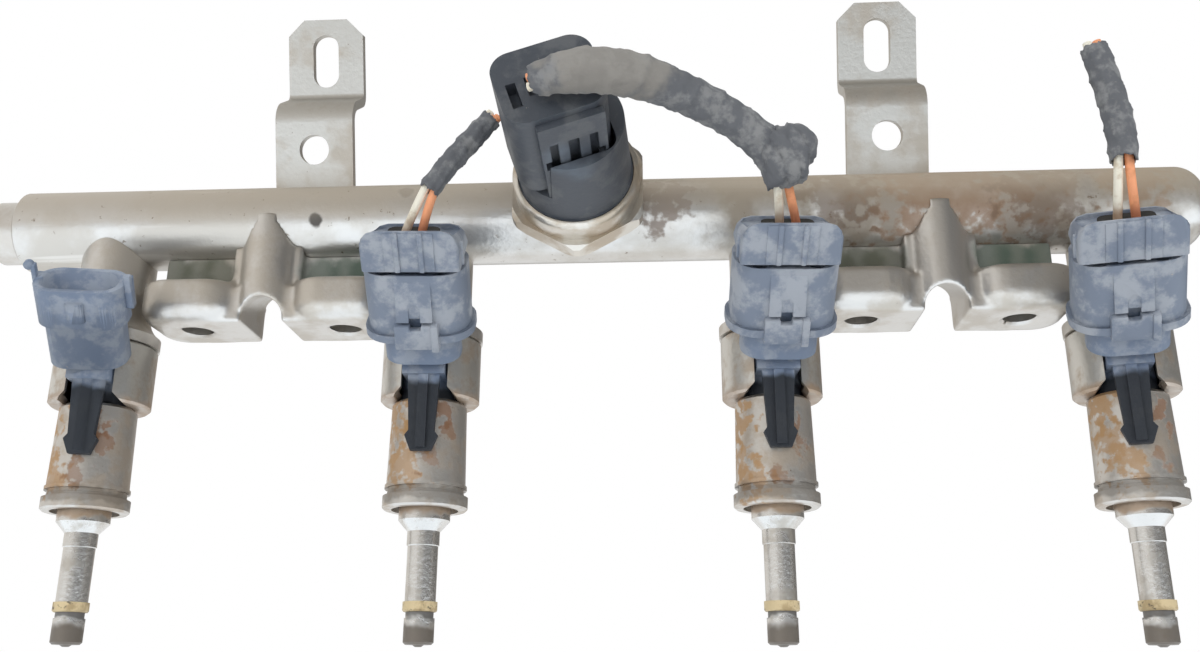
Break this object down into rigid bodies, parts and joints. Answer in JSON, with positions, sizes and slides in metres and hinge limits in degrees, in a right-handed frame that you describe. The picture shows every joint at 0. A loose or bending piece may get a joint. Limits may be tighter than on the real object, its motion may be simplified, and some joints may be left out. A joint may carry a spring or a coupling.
{
  "type": "fuel rail",
  "caption": "direct-injection fuel rail: steel tube with brazed saddles and cups, clipped injectors, pressure sensor, cover brackets and cut loom plugs",
  "frame": {"origin": "midway along the line of bolt holes, on the saddles' seat plane", "axes": "X runs along the rail away from the inlet fitting, Z points from the cylinder head towards the rail, -Y is the plug side"},
  "size_m": [0.3135, 0.0863, 0.1735],
  "materials": {
    "rail_steel": "drawn steel, stained tan on top, specks of rust",
    "fitting_steel": "turned steel, light stain",
    "saddle_steel": "brazed steel, stained, green corrosion in the corners",
    "bracket_steel": "pressed steel strip, pale grey with brown stains",
    "sensor_steel": "turned steel, tan stain on the hexagon",
    "sensor_plastic": "dusty dark grey plastic",
    "plug_plastic": "dusty blue-grey plastic",
    "overmould_plastic": "dusty blue-grey plastic",
    "injector_steel": "steel with orange rust patches",
    "nozzle_steel": "ground steel, sooty golden tip",
    "spring_steel": "sprung steel with rust along its edges",
    "seal_cream": "cream fluoropolymer",
    "seal_rubber": "black rubber",
    "terminal_brass": "plated terminals",
    "wire_cream": "cream insulation, browned at the plugs",
    "wire_orange": "orange insulation, browned at the plugs",
    "loom_tape": "dusty dark loom tape"
  },
  "bodies": {
    "root": {"cover_bracket_left": "bracket_steel", "cover_bracket_right": "bracket_steel", "cream_wire_2": "wire_cream", "cream_wire_3": "wire_cream", "cream_wire_4": "wire_cream", "cup_o_rings": "seal_rubber", "hold_clip_1": "spring_steel", "hold_clip_2": "spring_steel", "hold_clip_3": "spring_steel", "hold_clip_4": "spring_steel", "injector_cup_1": "saddle_steel", "injector_cup_2": "saddle_steel", "injector_cup_3": "saddle_steel", "injector_cup_4": "saddle_steel", "inlet_fitting": "fitting_steel", "inlet_tube_1": "injector_steel", "inlet_tube_2": "injector_steel", "inlet_tube_3": "injector_steel", "inlet_tube_4": "injector_steel", "mount_saddle_left": "saddle_steel", "mount_saddle_right": "saddle_steel", "nozzle_1": "nozzle_steel", "nozzle_2": "nozzle_steel", "nozzle_3": "nozzle_steel", "nozzle_4": "nozzle_steel", "orange_wire_2": "wire_orange", "orange_wire_3": "wire_orange", "orange_wire_4": "wire_orange", "plug_2": "plug_plastic", "plug_3": "plug_plastic", "plug_4": "plug_plastic", "plug_seals": "seal_rubber", "rail_tube": "rail_steel", "sensor_boss": "saddle_steel", "sensor_housing": "sensor_plastic", "sensor_plug": "plug_plastic", "sensor_port": "sensor_steel", "socket_1": "overmould_plastic", "socket_2": "overmould_plastic", "socket_3": "overmould_plastic", "socket_4": "overmould_plastic", "socket_pins": "terminal_brass", "solenoid_body_1": "injector_steel", "solenoid_body_2": "injector_steel", "solenoid_body_3": "injector_steel", "solenoid_body_4": "injector_steel", "support_ring_1": "injector_steel", "support_ring_2": "injector_steel", "support_ring_3": "injector_steel", "support_ring_4": "injector_steel", "tape_2": "loom_tape", "tape_3": "loom_tape", "tape_4": "loom_tape", "tip_seal_1": "seal_cream", "tip_seal_2": "seal_cream", "tip_seal_3": "seal_cream", "tip_seal_4": "seal_cream"}
  },
  "joints": []
}
